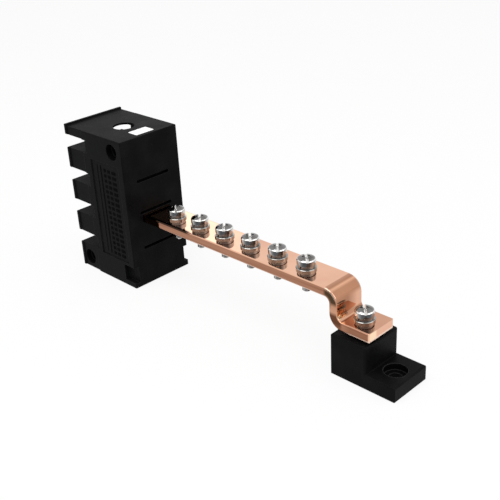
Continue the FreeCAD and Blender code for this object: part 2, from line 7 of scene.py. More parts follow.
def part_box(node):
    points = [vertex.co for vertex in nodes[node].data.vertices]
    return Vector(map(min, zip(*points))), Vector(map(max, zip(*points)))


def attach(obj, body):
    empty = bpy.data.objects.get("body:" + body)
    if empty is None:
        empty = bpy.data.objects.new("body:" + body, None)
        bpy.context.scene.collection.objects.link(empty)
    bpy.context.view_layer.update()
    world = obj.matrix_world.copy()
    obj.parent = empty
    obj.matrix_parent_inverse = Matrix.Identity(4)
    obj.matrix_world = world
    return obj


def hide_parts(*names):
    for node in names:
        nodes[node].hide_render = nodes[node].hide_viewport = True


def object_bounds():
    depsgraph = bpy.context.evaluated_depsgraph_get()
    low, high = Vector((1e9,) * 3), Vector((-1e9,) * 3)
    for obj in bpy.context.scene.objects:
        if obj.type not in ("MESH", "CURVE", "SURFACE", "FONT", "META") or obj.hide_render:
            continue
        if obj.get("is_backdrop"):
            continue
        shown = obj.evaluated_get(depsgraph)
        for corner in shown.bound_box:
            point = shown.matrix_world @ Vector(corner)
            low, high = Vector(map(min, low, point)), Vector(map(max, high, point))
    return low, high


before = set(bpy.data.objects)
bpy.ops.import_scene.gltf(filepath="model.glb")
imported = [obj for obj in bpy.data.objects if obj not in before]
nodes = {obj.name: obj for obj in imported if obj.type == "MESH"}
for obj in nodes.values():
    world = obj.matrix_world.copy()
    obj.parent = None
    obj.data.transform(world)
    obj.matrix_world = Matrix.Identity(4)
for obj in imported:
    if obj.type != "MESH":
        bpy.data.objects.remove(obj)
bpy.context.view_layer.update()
scene = bpy.context.scene
mm = 0.001
print("frame loaded,", len(nodes), "parts")


# sizes and places are in mm, except where a note says metres
supportLow, supportHigh = (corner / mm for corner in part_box("stepped_support"))
barLow, barHigh = (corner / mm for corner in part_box("copper_bar"))
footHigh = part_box("foot_insulator")[1] / mm
screwNumbers = range(1, 8)


def clearSelection():
    if bpy.context.object and bpy.context.object.mode != "OBJECT":
        bpy.ops.object.mode_set(mode="OBJECT")
    bpy.ops.object.select_all(action="DESELECT")


def makeActive(piece):
    clearSelection()
    piece.select_set(True)
    bpy.context.view_layer.objects.active = piece


def joinAll(pieces):
    # the others become part of the first
    makeActive(pieces[0])
    for piece in pieces[1:]:
        piece.select_set(True)
    bpy.ops.object.join()


def applyAll(piece):
    makeActive(piece)
    for modifier in list(piece.modifiers):
        bpy.ops.object.modifier_apply(modifier=modifier.name)


def settle(piece):
    # the place, turn and size go into the mesh
    makeActive(piece)
    bpy.ops.object.transform_apply(location=True, rotation=True, scale=True)


def closeUp(piece, angle=30, mergeWithin=0.002):
    # merged, facing outwards, and smooth except at edges sharper than an angle in degrees
    makeActive(piece)
    bpy.ops.object.mode_set(mode="EDIT")
    bpy.ops.mesh.select_all(action="SELECT")
    bpy.ops.mesh.remove_doubles(threshold=mergeWithin * mm)
    bpy.ops.mesh.normals_make_consistent(inside=False)
    bpy.ops.object.mode_set(mode="OBJECT")
    bpy.ops.object.shade_smooth_by_angle(angle=math.radians(angle))


def turnedSolid(name, rings, steps):
    # a solid of revolution, grown ring by ring from its lowest face; rings are (radius, height)
    clearSelection()
    radius, height = rings[0]
    bpy.ops.mesh.primitive_circle_add(vertices=steps, radius=radius * mm, fill_type="NGON",
                                      location=(0, 0, height * mm))
    piece = bpy.context.object
    piece.name = name
    settle(piece)
    bpy.ops.object.mode_set(mode="EDIT")
    bpy.ops.mesh.select_all(action="SELECT")
    for nextRadius, nextHeight in rings[1:]:
        bpy.ops.mesh.extrude_region_move(
            TRANSFORM_OT_translate={"value": (0, 0, (nextHeight - height) * mm)})
        grow = nextRadius / radius
        bpy.ops.transform.resize(value=(grow, grow, 1), center_override=(0, 0, 0))
        radius, height = nextRadius, nextHeight
    bpy.ops.object.mode_set(mode="OBJECT")
    return piece


def block(name, low, high):
    # a box between two corners
    clearSelection()
    middle = [(a + b) / 2 * mm for a, b in zip(low, high)]
    bpy.ops.mesh.primitive_cube_add(size=1, location=middle)
    piece = bpy.context.object
    piece.name = name
    piece.scale = [(b - a) * mm for a, b in zip(low, high)]
    settle(piece)
    return piece


def cutAway(piece, cutter):
    cut = piece.modifiers.new("cut", "BOOLEAN")
    cut.operation = "DIFFERENCE"
    cut.solver = "EXACT"
    cut.object = cutter
    applyAll(piece)
    bpy.data.objects.remove(cutter, do_unlink=True)


def newMaterial(name):
    material = bpy.data.materials.new(name)
    material.use_nodes = True
    tree = material.node_tree
    tree.nodes.clear()
    output = tree.nodes.new("ShaderNodeOutputMaterial")
    shader = tree.nodes.new("ShaderNodeBsdfPrincipled")
    tree.links.new(shader.outputs["BSDF"], output.inputs["Surface"])
    return material, tree, shader


def feed(tree, socket, value):
    # a link from another node, or a fixed value
    if isinstance(value, bpy.types.NodeSocket):
        tree.links.new(value, socket)
    else:
        socket.default_value = value


def maths(tree, operation, first, second=0):
    node = tree.nodes.new("ShaderNodeMath")
    node.operation = operation
    feed(tree, node.inputs[0], first)
    feed(tree, node.inputs[1], second)
    return node.outputs["Value"]


def product(tree, *shares):
    # 1 only where all the shares are 1
    whole = shares[0]
    for share in shares[1:]:
        whole = maths(tree, "MULTIPLY", whole, share)
    return whole


def spread(tree, value, fromLow, fromHigh, toLow=0, toHigh=1):
    ranged = tree.nodes.new("ShaderNodeMapRange")
    for label, number in (("From Min", fromLow), ("From Max", fromHigh), ("To Min", toLow),
                          ("To Max", toHigh)):
        ranged.inputs[label].default_value = number
    tree.links.new(value, ranged.inputs["Value"])
    return ranged.outputs["Result"]


def opposite(tree, share):
    return spread(tree, share, 0, 1, 1, 0)


def blendColours(tree, share, first, second, mode="MIX"):
    mixed = tree.nodes.new("ShaderNodeMix")
    mixed.data_type = "RGBA"
    mixed.blend_type = mode
    for socket, colour in ((mixed.inputs["A"], first), (mixed.inputs["B"], second)):
        feed(tree, socket, colour if isinstance(colour, bpy.types.NodeSocket) else (*colour, 1))
    tree.links.new(share, mixed.inputs["Factor"])
    return mixed.outputs["Result"]


def bands(tree, value, stops):
    # colours that follow a value; stops are (value, colour)
    ramp = tree.nodes.new("ShaderNodeValToRGB")
    elements = ramp.color_ramp.elements  # a new ramp has two
    for i, (position, colour) in enumerate(stops):
        element = elements[i] if i < 2 else elements.new(position)
        element.position = position
        element.color = (*colour, 1)
    tree.links.new(value, ramp.inputs["Fac"])
    return ramp.outputs["Color"]


def objectPlace(tree):
    return tree.nodes.new("ShaderNodeTexCoord").outputs["Object"]


def axisPart(tree, vector, axis):
    parts = tree.nodes.new("ShaderNodeSeparateXYZ")
    tree.links.new(vector, parts.inputs["Vector"])
    return parts.outputs[axis]


def noiseOn(tree, scale, detail, stretch=(1, 1, 1)):
    # the scale is in patches per metre
    mapping = tree.nodes.new("ShaderNodeMapping")
    mapping.inputs["Scale"].default_value = stretch
    noise = tree.nodes.new("ShaderNodeTexNoise")
    noise.inputs["Scale"].default_value = scale
    noise.inputs["Detail"].default_value = detail
    tree.links.new(objectPlace(tree), mapping.inputs["Vector"])
    tree.links.new(mapping.outputs["Vector"], noise.inputs["Vector"])
    return noise.outputs["Fac"]


def along(tree, axis, start, end):
    # 0 before one place along an axis and 1 past the other
    return spread(tree, axisPart(tree, objectPlace(tree), axis), start * mm, end * mm)


def within(tree, axis, low, high, fade):
    # 1 between two places along an axis, fading to 0 outside them
    risen = along(tree, axis, low - fade, low + fade)
    return product(tree, risen, along(tree, axis, high + fade, high - fade))


def roundLine(tree, x, z, near, far):
    # 1 near a line that runs across the bar, fading to 0 further off
    flattened = tree.nodes.new("ShaderNodeVectorMath")
    flattened.operation = "MULTIPLY"
    flattened.inputs[1].default_value = (1, 0, 1)
    reach = tree.nodes.new("ShaderNodeVectorMath")
    reach.operation = "DISTANCE"
    reach.inputs[1].default_value = (x * mm, 0, z * mm)
    tree.links.new(objectPlace(tree), flattened.inputs[0])
    tree.links.new(flattened.outputs["Vector"], reach.inputs[0])
    return spread(tree, reach.outputs["Value"], near * mm, far * mm, 1, 0)


def trueNormal(tree):
    return tree.nodes.new("ShaderNodeNewGeometry").outputs["Normal"]


def roundedNormal(tree, radius, samples=6):
    # the normal as it would be with edges rounded by a radius
    rounded = tree.nodes.new("ShaderNodeBevel")
    rounded.samples = samples
    rounded.inputs["Radius"].default_value = radius * mm
    return rounded.outputs["Normal"]


def agreement(tree, first, second):
    # 1 where two directions are the same and -1 where they are opposite
    dot = tree.nodes.new("ShaderNodeVectorMath")
    dot.operation = "DOT_PRODUCT"
    feed(tree, dot.inputs[0], first)
    feed(tree, dot.inputs[1], second)
    return dot.outputs["Value"]


def edgeShare(tree, radius, softest=0.985, sharpest=0.80):
    # 0 on flat places and 1 along edges, from how far a rounded normal leaves the true one
    return spread(tree, agreement(tree, roundedNormal(tree, radius), trueNormal(tree)), softest, sharpest)


def facing(tree, axis, least, most):
    # 1 where the surface faces along an axis, either way, and 0 where it doesn't
    size = maths(tree, "ABSOLUTE", axisPart(tree, trueNormal(tree), axis))
    return spread(tree, size, least, most)


def bumpOn(tree, shader, height, bump, edgeRadius):
    # a bump is (height, strength)
    lifted = tree.nodes.new("ShaderNodeBump")
    lifted.inputs["Distance"].default_value = bump[0] * mm
    lifted.inputs["Strength"].default_value = bump[1]
    tree.links.new(roundedNormal(tree, edgeRadius), lifted.inputs["Normal"])
    tree.links.new(height, lifted.inputs["Height"])
    tree.links.new(lifted.outputs["Normal"], shader.inputs["Normal"])


# in the finishes a noise is (patches per metre, detail, stretch), and a range says where its share
# starts and ends
mouldedBlack = {
    "base": (0.0032, 0.0032, 0.0034), "dust": (0.0062, 0.0062, 0.0064), "wornAndHighlightEdge": (0.020, 0.020, 0.0205),
    "clouds": (70, 5), "dustRange": (0.42, 0.68), "roughRange": (0.3, 0.7), "rough": (0.40, 0.54),
    "grain": (2600, 3), "grainBump": (0.02, 0.5), "gloss": 0.03, "edgeRadius": 0.4,
}
# the foot's rims get a wider painted highlight, but not its inside corner, where the block stands on the
# base
footBlack = dict(
    mouldedBlack, gloss=0.032, rough=(0.36, 0.5), wornAndHighlightEdge=(0.034, 0.034, 0.035), edgeRadius=0.9,
    insideCorner={"place": footHigh.x - 17.3, "reach": 2.1, "fade": 0.2, "top": 10.5, "topFade": 0.4})
# the table stands out a little darker than its panel
dullBlack = dict(
    mouldedBlack, base=(0.0008, 0.0008, 0.0008), dust=(0.002, 0.002, 0.002), wornAndHighlightEdge=(0.008, 0.008, 0.008),
    gloss=0.01)


def cornerShare(tree, corner):
    # 1 in the corner, and 0 away from it and above it
    place, reach, top = corner["place"], corner["reach"], corner["top"]
    across = within(tree, "X", place - reach, place + reach, corner["fade"])
    return product(tree, across, along(tree, "Z", top, top - corner["topFade"]))


def mouldedPlastic(name, finish):
    material, tree, shader = newMaterial(name)
    clouds = noiseOn(tree, *finish["clouds"])
    grain = noiseOn(tree, *finish["grain"])
    body = blendColours(tree, spread(tree, clouds, *finish["dustRange"]), finish["base"], finish["dust"])
    # the edges are lighter, from wear and a painted highlight
    edges = edgeShare(tree, finish["edgeRadius"])
    if "insideCorner" in finish:
        edges = product(tree, edges, opposite(tree, cornerShare(tree, finish["insideCorner"])))
    tree.links.new(blendColours(tree, edges, body, finish["wornAndHighlightEdge"]), shader.inputs["Base Color"])
    tree.links.new(spread(tree, clouds, *finish["roughRange"], *finish["rough"]),
                   shader.inputs["Roughness"])
    shader.inputs["Specular IOR Level"].default_value = finish["gloss"]
    bumpOn(tree, shader, grain, finish["grainBump"], finish["edgeRadius"])
    return material


# where the bar's upper run turns down
bendStart = barHigh.x - 27.6
rolledCopper = {
    "base": (0.84, 0.50, 0.345), "tarnish": (0.76, 0.42, 0.29), "clouds": (45, 4),
    "tarnishRange": (0.40, 0.72), "lines": (1, 4, (25, 1400, 25)), "lineRange": (0.35, 0.65),
    "rough": (0.035, 0.085), "lineBump": (0.003, 0.2), "edgeRadius": 0.5,
    # the slit sides of the strip are painted darker, as shade, with streaks along it
    "slit": (0.39, 0.19, 0.118), "slitDark": (0.30, 0.13, 0.075), "slitLines": (1, 3, (14, 30, 620)),
    "slitRange": (0.40, 0.62), "slitFacing": (0.80, 0.97),
    # on the bends they get painted light and dark bands by height, from the bar's lowest face to its
    # highest
    "bendAlong": (bendStart + 0.1, bendStart + 10.6), "bendFade": 0.8, "bendUp": (barLow.z, barHigh.z),
    "bendSlit": ((0.0, (0.30, 0.13, 0.075)), (0.18, (0.12, 0.045, 0.022)), (0.34, (0.14, 0.055, 0.028)),
                 (0.44, (0.58, 0.31, 0.20)), (0.58, (0.52, 0.27, 0.17)), (0.68, (0.08, 0.045, 0.022)),
                 (0.90, (0.07, 0.042, 0.020)), (1.0, (0.30, 0.15, 0.09))),
    # the inner half of the upper bend's side is painted lighter, round the bend's centre line
    "bendCentre": (bendStart, barHigh.z - 8), "innerReach": (3.6, 4.8), "innerSlit": (0.32, 0.16, 0.10),
    # painted highlight and shade bands on the skin of the bends, by how far it has turned from level to
    # upright
    "skinAlong": (bendStart - 5.9, bendStart + 13.1),
    "skin": ((0.0, (1, 1, 1)), (0.10, (0.62, 0.55, 0.50)), (0.30, (0.54, 0.45, 0.39)),
             (0.44, (0.98, 0.92, 0.86)), (0.60, (0.62, 0.52, 0.45)), (0.86, (0.62, 0.51, 0.44)),
             (1.0, (0.50, 0.42, 0.36))),
    # the riser is painted paler on its far half, and low on its near half it gets a pale painted
    # reflection of the nearest screw
    "riserTone": (0.90, 0.86, 0.84), "riserAcross": (-1, 6), "riserFacing": (0.90, 0.99),
    "paintedScrewReflection": (0.98, 0.72, 0.49), "paintedScrewReflectionAcross": (barLow.y + 0.6, barLow.y + 6), "paintedScrewReflectionFade": 0.8,
    "paintedScrewReflectionUp": (barHigh.z - 10.1, barHigh.z - 11.5), "paintedScrewReflectionFacing": (0.50, 0.80),
    # the foot end is darker on all but its end face
    "footTone": (0.77, 0.72, 0.69), "footAlong": (bendStart + 12.1, bendStart + 16.1),
    "endFacing": (0.5, 0.2),
    # the upper edges are painted darker, as shade, and the near one nearly black beside the support, a
    # painted reflection of it
    "paintedShadeUpperEdge": (0.52, 0.31, 0.22), "dimEdge": (0.05, 0.025, 0.015), "dimFade": 2,
    "dimAlong": (supportHigh.x + 2.9, supportHigh.x + 39.4),
    "dimAcross": (barLow.y + 1.9, barLow.y + 1.5), "dimUp": (barHigh.z - 1.2, barHigh.z - 1),
    # the upper bend's corner edge gets a painted highlight
    "paintedBendHighlight": (1.0, 0.93, 0.86), "paintedBendHighlightRadius": 1.6, "paintedBendHighlightSpread": (0.98, 0.89),
    "paintedBendHighlightUp": (barHigh.z - 5.8, barHigh.z - 3.8),
    # the lower edges get a wider painted highlight, and over the foot a pale, less metallic painted
    # highlight
    "paintedHighlightLowerEdge": (0.84, 0.62, 0.52), "lowerRadius": 1.3, "lowerTurn": (-0.18, -0.40),
    "paintedHighlightFootEdge": (0.92, 0.66, 0.52), "footEdgeUp": (barLow.z + 1.1, barLow.z + 0.8), "footEdgeMetal": 0.2,
}


def bendSkin(tree, finish, body):
    # painted highlight and shade bands on the bends, and a painted reflection of the screw low on the
    # riser
    turned = bands(tree, facing(tree, "X", 0, 1), finish["skin"])
    riser = product(tree, along(tree, "Y", *finish["riserAcross"]),
                    facing(tree, "X", *finish["riserFacing"]))
    skin = blendColours(tree, riser, turned, finish["riserTone"])
    onBends = within(tree, "X", *finish["skinAlong"], finish["bendFade"])
    body = blendColours(tree, onBends, body, skin, "MULTIPLY")
    paintedScrewReflection = product(tree, within(tree, "Y", *finish["paintedScrewReflectionAcross"], finish["paintedScrewReflectionFade"]),
                     along(tree, "Z", *finish["paintedScrewReflectionUp"]), facing(tree, "X", *finish["paintedScrewReflectionFacing"]))
    return blendColours(tree, paintedScrewReflection, body, finish["paintedScrewReflection"])


def slitSide(tree, finish, bent):
    # painted shade on the slit sides, streaked along the strip, and painted light and dark bands on the
    # bends
    streaks = spread(tree, noiseOn(tree, *finish["slitLines"]), *finish["slitRange"])
    straight = blendColours(tree, streaks, finish["slit"], finish["slitDark"])
    outer = bands(tree, along(tree, "Z", *finish["bendUp"]), finish["bendSlit"])
    inner = roundLine(tree, *finish["bendCentre"], *finish["innerReach"])
    return blendColours(tree, bent, straight, blendColours(tree, inner, outer, finish["innerSlit"]))


def paintedEdgeLight(tree, finish, body, bent):
    # painted shade on the upper edges, a painted reflection of the support, and painted highlights on the
    # bend's corner and the lower edges
    body = blendColours(tree, edgeShare(tree, finish["edgeRadius"]), body, finish["paintedShadeUpperEdge"])
    dim = product(tree, within(tree, "X", *finish["dimAlong"], finish["dimFade"]),
                  along(tree, "Y", *finish["dimAcross"]), along(tree, "Z", *finish["dimUp"]))
    body = blendColours(tree, dim, body, finish["dimEdge"])
    corner = product(tree, edgeShare(tree, finish["paintedBendHighlightRadius"], *finish["paintedBendHighlightSpread"]), bent,
                     along(tree, "Z", *finish["paintedBendHighlightUp"]))
    body = blendColours(tree, corner, body, finish["paintedBendHighlight"])
    turnedUnder = axisPart(tree, roundedNormal(tree, finish["lowerRadius"]), "Z")
    return blendColours(tree, spread(tree, turnedUnder, *finish["lowerTurn"]), body, finish["paintedHighlightLowerEdge"])


def copper(name, finish):
    material, tree, shader = newMaterial(name)
    clouds = noiseOn(tree, *finish["clouds"])
    lines = noiseOn(tree, *finish["lines"])
    bent = within(tree, "X", *finish["bendAlong"], finish["bendFade"])
    footEnd = along(tree, "X", *finish["footAlong"])
    body = blendColours(tree, spread(tree, clouds, *finish["tarnishRange"]), finish["base"],
                        finish["tarnish"])
    body = bendSkin(tree, finish, body)
    sideways = facing(tree, "Y", *finish["slitFacing"])
    body = blendColours(tree, sideways, body, slitSide(tree, finish, bent))
    footDarkened = product(tree, footEnd, facing(tree, "X", *finish["endFacing"]))
    body = blendColours(tree, footDarkened, body, finish["footTone"], "MULTIPLY")
    body = paintedEdgeLight(tree, finish, body, bent)
    paintedHighlightFootEdge = product(tree, along(tree, "Z", *finish["footEdgeUp"]), footEnd)
    body = blendColours(tree, paintedHighlightFootEdge, body, finish["paintedHighlightFootEdge"])
    tree.links.new(body, shader.inputs["Base Color"])
    tree.links.new(spread(tree, paintedHighlightFootEdge, 0, 1, 1, finish["footEdgeMetal"]), shader.inputs["Metallic"])
    tree.links.new(spread(tree, lines, *finish["lineRange"], *finish["rough"]),
                   shader.inputs["Roughness"])
    bumpOn(tree, shader, lines, finish["lineBump"], finish["edgeRadius"])
    return material


# painted highlight and shade bands run from the flanks of a turned part, over its rounded rim, to its
# level faces
plated = {
    "bands": ((0.0, (0.095, 0.10, 0.105)), (0.26, (0.035, 0.036, 0.037)), (0.40, (0.93, 0.92, 0.90)),
              (0.78, (0.90, 0.89, 0.87)), (0.86, (0.27, 0.265, 0.26)), (1.0, (0.16, 0.157, 0.153))),
    "dull": (0.62, 0.61, 0.60), "clouds": (380, 4), "dullRange": (0.45, 0.70), "roughRange": (0.3, 0.7),
    "rough": (0.05, 0.12), "grain": (1900, 2), "grainBump": (0.006, 0.4), "edgeRadius": 0.12,
    # the edges get a painted highlight
    "edge": (0.80, 0.79, 0.77),
    # the flanks get painted shade on one side of the part and are painted paler all round the rest
    "paintedShadeSide": (0.72, -0.69, 0), "paintedShadeRange": (0.92, 0.62), "uprightFacing": (0.30, 0.15),
    "flanks": ((0.0, (0.82, 0.81, 0.79)), (0.55, (0.80, 0.79, 0.77)), (0.80, (0.58, 0.57, 0.555)),
               (0.92, (0.40, 0.39, 0.38))),
}
# the slot and the cross are painted lighter, as a highlight
platedRecessHighlight = dict(
    plated, bands=((0.0, (0.60, 0.59, 0.57)), (0.5, (0.80, 0.79, 0.77)), (1.0, (0.95, 0.94, 0.92))),
    rough=(0.25, 0.35))
# the flat washers take the same painted bands and painted shade on one side, in darker tones
platedWasher = dict(
    plated, bands=((0.0, (0.30, 0.29, 0.275)), (0.3, (0.36, 0.35, 0.33)), (1.0, (0.36, 0.35, 0.33))),
    flanks=((0.0, (0.62, 0.61, 0.59)), (0.55, (0.60, 0.59, 0.57)), (0.80, (0.38, 0.37, 0.355))),
    edge=(0.40, 0.39, 0.37))
# the spring washers are painted nearly black, as shade under the heads
platedSpring = dict(
    plated, bands=((0.0, (0.16, 0.17, 0.18)), (0.3, (0.10, 0.10, 0.10)), (1.0, (0.25, 0.24, 0.23))),
    flanks=((0.0, (0.62, 0.61, 0.59)), (0.55, (0.60, 0.59, 0.57)), (0.80, (0.36, 0.35, 0.34))),
    edge=(0.40, 0.39, 0.37), rough=(0.16, 0.32))
# the brass insert takes the same painted bands and painted shade on one side, in brass
turnedBrass = dict(
    plated, bands=((0.0, (0.55, 0.38, 0.18)), (0.5, (0.80, 0.60, 0.30)), (1.0, (0.80, 0.60, 0.30))),
    flanks=((0.0, (0.60, 0.42, 0.20)), (1.0, (0.55, 0.38, 0.18))),
    edge=(0.92, 0.76, 0.45), rough=(0.2, 0.34))


def platedMetal(name, finish):
    material, tree, shader = newMaterial(name)
    shader.inputs["Metallic"].default_value = 1
    clouds = noiseOn(tree, *finish["clouds"])
    grain = noiseOn(tree, *finish["grain"])
    body = bands(tree, facing(tree, "Z", 0, 1), finish["bands"])
    turned = agreement(tree, trueNormal(tree), finish["paintedShadeSide"])
    paler = product(tree, spread(tree, turned, *finish["paintedShadeRange"]),
                    facing(tree, "Z", *finish["uprightFacing"]))
    body = blendColours(tree, paler, body, bands(tree, spread(tree, turned, -1, 1), finish["flanks"]))
    dulled = spread(tree, clouds, *finish["dullRange"])
    body = blendColours(tree, dulled, body, finish["dull"], "MULTIPLY")
    body = blendColours(tree, edgeShare(tree, finish["edgeRadius"]), body, finish["edge"])
    tree.links.new(body, shader.inputs["Base Color"])
    tree.links.new(spread(tree, clouds, *finish["roughRange"], *finish["rough"]),
                   shader.inputs["Roughness"])
    bumpOn(tree, shader, grain, finish["grainBump"], finish["edgeRadius"])
    return material


supportPlastic = mouldedPlastic("supportPlastic", mouldedBlack)
footPlastic = mouldedPlastic("footPlastic", footBlack)
barCopper = copper("barCopper", rolledCopper)
screwPlate = platedMetal("screwPlate", plated)
washerPlate = platedMetal("washerPlate", platedWasher)
springPlate = platedMetal("springPlate", platedSpring)
recessHighlightPlate = platedMetal("recessHighlightPlate", platedRecessHighlight)
insertBrass = platedMetal("insertBrass", turnedBrass)


def dress(node, material):
    nodes[node].data.materials.clear()
    nodes[node].data.materials.append(material)


dress("stepped_support", supportPlastic)
dress("foot_insulator", footPlastic)
dress("foot_insert", insertBrass)
dress("copper_bar", barCopper)
for number in screwNumbers:
    dress(f"spring_washer_{number}", springPlate)
    dress(f"flat_washer_{number}", washerPlate)
print("parts dressed")


# pan-head screws with a driver slot and a cross, on threaded shanks; heights are from the bar's face
screw = {
    "headRadius": 5.0, "headBase": 3.0, "headHeight": 4.2, "domeRadius": 9.0, "rimRadius": 1.0,
    "crownRadius": 0.15, "rimTurns": 6, "domeTurns": 7,
    "slotWidth": 1.4, "slotDepth": 1.9, "crossSpan": 5.4, "crossWidth": 1.3, "crossDepth": 2.6,
    "crossTaper": 0.72, "cutterReach": 7.0, "cutterRise": 2.0,
    "length": 16, "coreRadius": 2.12, "tipChamfer": 0.6, "steps": 72, "smoothAngle": 35,
    "crestRadius": 2.47, "ridge": 0.43, "threadPitch": 0.8, "threadSteps": 28,
    "threadFromTip": 0.5, "threadBelowHead": 2.0, "recessBelow": 1.0, "recessAbove": 0.5,
    # how far each screw has been turned, in degrees
    "turns": (44, 47, 42, 46, 43, 48, 45),
}


def headRings(sizes):
    # the rim's arc runs tangent from the head's side into its dome
    top = sizes["headBase"] + sizes["headHeight"]
    reach = sizes["headRadius"] - sizes["rimRadius"]
    inner = sizes["domeRadius"] - sizes["rimRadius"]
    domeCentre = top - sizes["domeRadius"]
    rimCentre = domeCentre + math.sqrt(inner ** 2 - reach ** 2)
    slope = math.asin(reach / inner)
    rings = [(sizes["headRadius"], sizes["headBase"])]
    for i in range(sizes["rimTurns"] + 1):
        angle = (math.pi / 2 - slope) * i / sizes["rimTurns"]
        rings.append((reach + sizes["rimRadius"] * math.cos(angle),
                      rimCentre + sizes["rimRadius"] * math.sin(angle)))
    for i in range(1, sizes["domeTurns"]):
        angle = slope * (1 - i / sizes["domeTurns"])
        rings.append((sizes["domeRadius"] * math.sin(angle),
                      domeCentre + sizes["domeRadius"] * math.cos(angle)))
    rings.append((sizes["crownRadius"], top))
    return rings


def makeThread(sizes, low, high):
    # a three-sided ridge wound up the shank
    clearSelection()
    radius = sizes["crestRadius"] - sizes["ridge"]
    bpy.ops.mesh.primitive_circle_add(vertices=3, radius=sizes["ridge"] * mm,
                                      location=(radius * mm, 0, low * mm),
                                      rotation=(math.pi / 2, math.pi / 2, 0))
    thread = bpy.context.object
    settle(thread)
    wind = thread.modifiers.new("wind", "SCREW")
    wind.axis = "Z"
    wind.screw_offset = sizes["threadPitch"] * mm
    wind.iterations = int((high - low) / sizes["threadPitch"])
    wind.steps = sizes["threadSteps"]
    wind.render_steps = sizes["threadSteps"]
    applyAll(thread)
    bpy.ops.object.mode_set(mode="EDIT")
    bpy.ops.mesh.select_all(action="DESELECT")
    bpy.ops.mesh.select_mode(type="EDGE")
    bpy.ops.mesh.select_non_manifold()
    bpy.ops.mesh.fill()
    bpy.ops.object.mode_set(mode="OBJECT")
    return thread


def cutDriver(sizes, body):
    # a straight slot, and a cross whose arms taper towards their floor
    top = sizes["headBase"] + sizes["headHeight"]
    above = top + sizes["cutterRise"]
    half = sizes["slotWidth"] / 2
    cutAway(body, block("slotCutter", (-half, -sizes["cutterReach"], top - sizes["slotDepth"]),
                        (half, sizes["cutterReach"], above)))
    span, width = sizes["crossSpan"] / 2, sizes["crossWidth"] / 2
    for x, y in ((span, width), (width, span)):
        arm = block("crossCutter", (-x, -y, top - sizes["crossDepth"]), (x, y, above))
        for vertex in arm.data.vertices:
            if vertex.co.z < top * mm:
                vertex.co.x *= sizes["crossTaper"]
                vertex.co.y *= sizes["crossTaper"]
        cutAway(body, arm)


def paintRecess(sizes, body):
    # the faces of the slot and the cross get the second material, painted lighter as a highlight
    body.data.materials.clear()
    body.data.materials.append(screwPlate)
    body.data.materials.append(recessHighlightPlate)
    top = sizes["headBase"] + sizes["headHeight"]
    for face in body.data.polygons:
        reach = math.hypot(face.center.x, face.center.y) / mm
        height = face.center.z / mm
        inside = reach < sizes["headRadius"] - sizes["rimRadius"]
        sunk = sizes["headBase"] + sizes["recessAbove"] < height < top - sizes["recessBelow"]
        face.material_index = 1 if inside and sunk else 0


def makeScrew(sizes):
    tip = sizes["headBase"] - sizes["length"]
    core = sizes["coreRadius"]
    chamfer = sizes["tipChamfer"]
    shank = [(core - chamfer, tip), (core, tip + chamfer), (core, sizes["headBase"])]
    body = turnedSolid("screwPattern", shank + headRings(sizes), sizes["steps"])
    closeUp(body)
    cutDriver(sizes, body)
    thread = makeThread(sizes, tip + sizes["threadFromTip"], sizes["headBase"] - sizes["threadBelowHead"])
    joinAll([body, thread])
    closeUp(body, sizes["smoothAngle"])
    paintRecess(sizes, body)
    return body


# each screw stands in the middle of its solid's box, with its washer on the bar; places in metres
pattern = makeScrew(screw)
for number, turn in zip(screwNumbers, screw["turns"]):
    node = f"terminal_screw_{number}"
    low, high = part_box(node)
    piece = pattern.copy()
    piece.data = pattern.data.copy()
    piece.name = f"terminalScrew{number}"
    scene.collection.objects.link(piece)
    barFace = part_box(f"flat_washer_{number}")[0].z
    place = Vector(((low.x + high.x) / 2, (low.y + high.y) / 2, barFace))
    piece.data.transform(Matrix.Translation(place) @ Matrix.Rotation(math.radians(turn), 4, "Z"))
    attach(piece, "root")
    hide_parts(node)
bpy.data.objects.remove(pattern, do_unlink=True)
print("screws made")


# blank label on the support's top
label = {
    "left": 16.0, "right": 24.1, "near": -6.2, "far": 6.8, "top": supportHigh.z - 1, "thickness": 0.06,
    "sunk": 0.02, "corner": 0.8, "cornerSteps": 6, "colour": (0.86, 0.86, 0.85),
    "speck": (0.6, 0.6, 0.6), "specks": (1500, 3), "speckRange": (0.55, 0.8), "speckBump": (0.01, 0.3),
    "roughRange": (0.3, 0.7), "rough": (0.45, 0.6), "edgeRadius": 0.1,
}


def makeLabel(sizes):
    piece = block("blankLabel", (sizes["left"], sizes["near"], sizes["top"] - sizes["sunk"]),
                  (sizes["right"], sizes["far"], sizes["top"] + sizes["thickness"]))
    bpy.ops.object.mode_set(mode="EDIT")
    bpy.ops.mesh.select_mode(type="EDGE")
    bpy.ops.mesh.select_all(action="DESELECT")
    bpy.ops.object.mode_set(mode="OBJECT")
    for edge in piece.data.edges:
        ends = [piece.data.vertices[i].co for i in edge.vertices]
        edge.select = abs(ends[0].z - ends[1].z) > sizes["thickness"] / 2 * mm
    bpy.ops.object.mode_set(mode="EDIT")
    bpy.ops.mesh.bevel(offset=sizes["corner"] * mm, segments=sizes["cornerSteps"], affect="EDGES")
    bpy.ops.object.mode_set(mode="OBJECT")
    closeUp(piece)
    return piece


def labelPaper(name, finish):
    material, tree, shader = newMaterial(name)
    specks = noiseOn(tree, *finish["specks"])
    speckled = spread(tree, specks, *finish["speckRange"])
    tree.links.new(blendColours(tree, speckled, finish["colour"], finish["speck"]),
                   shader.inputs["Base Color"])
    tree.links.new(spread(tree, specks, *finish["roughRange"], *finish["rough"]),
                   shader.inputs["Roughness"])
    bumpOn(tree, shader, specks, finish["speckBump"], finish["edgeRadius"])
    return material


blankLabel = makeLabel(label)
blankLabel.data.materials.append(labelPaper("labelInk", label))
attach(blankLabel, "root")


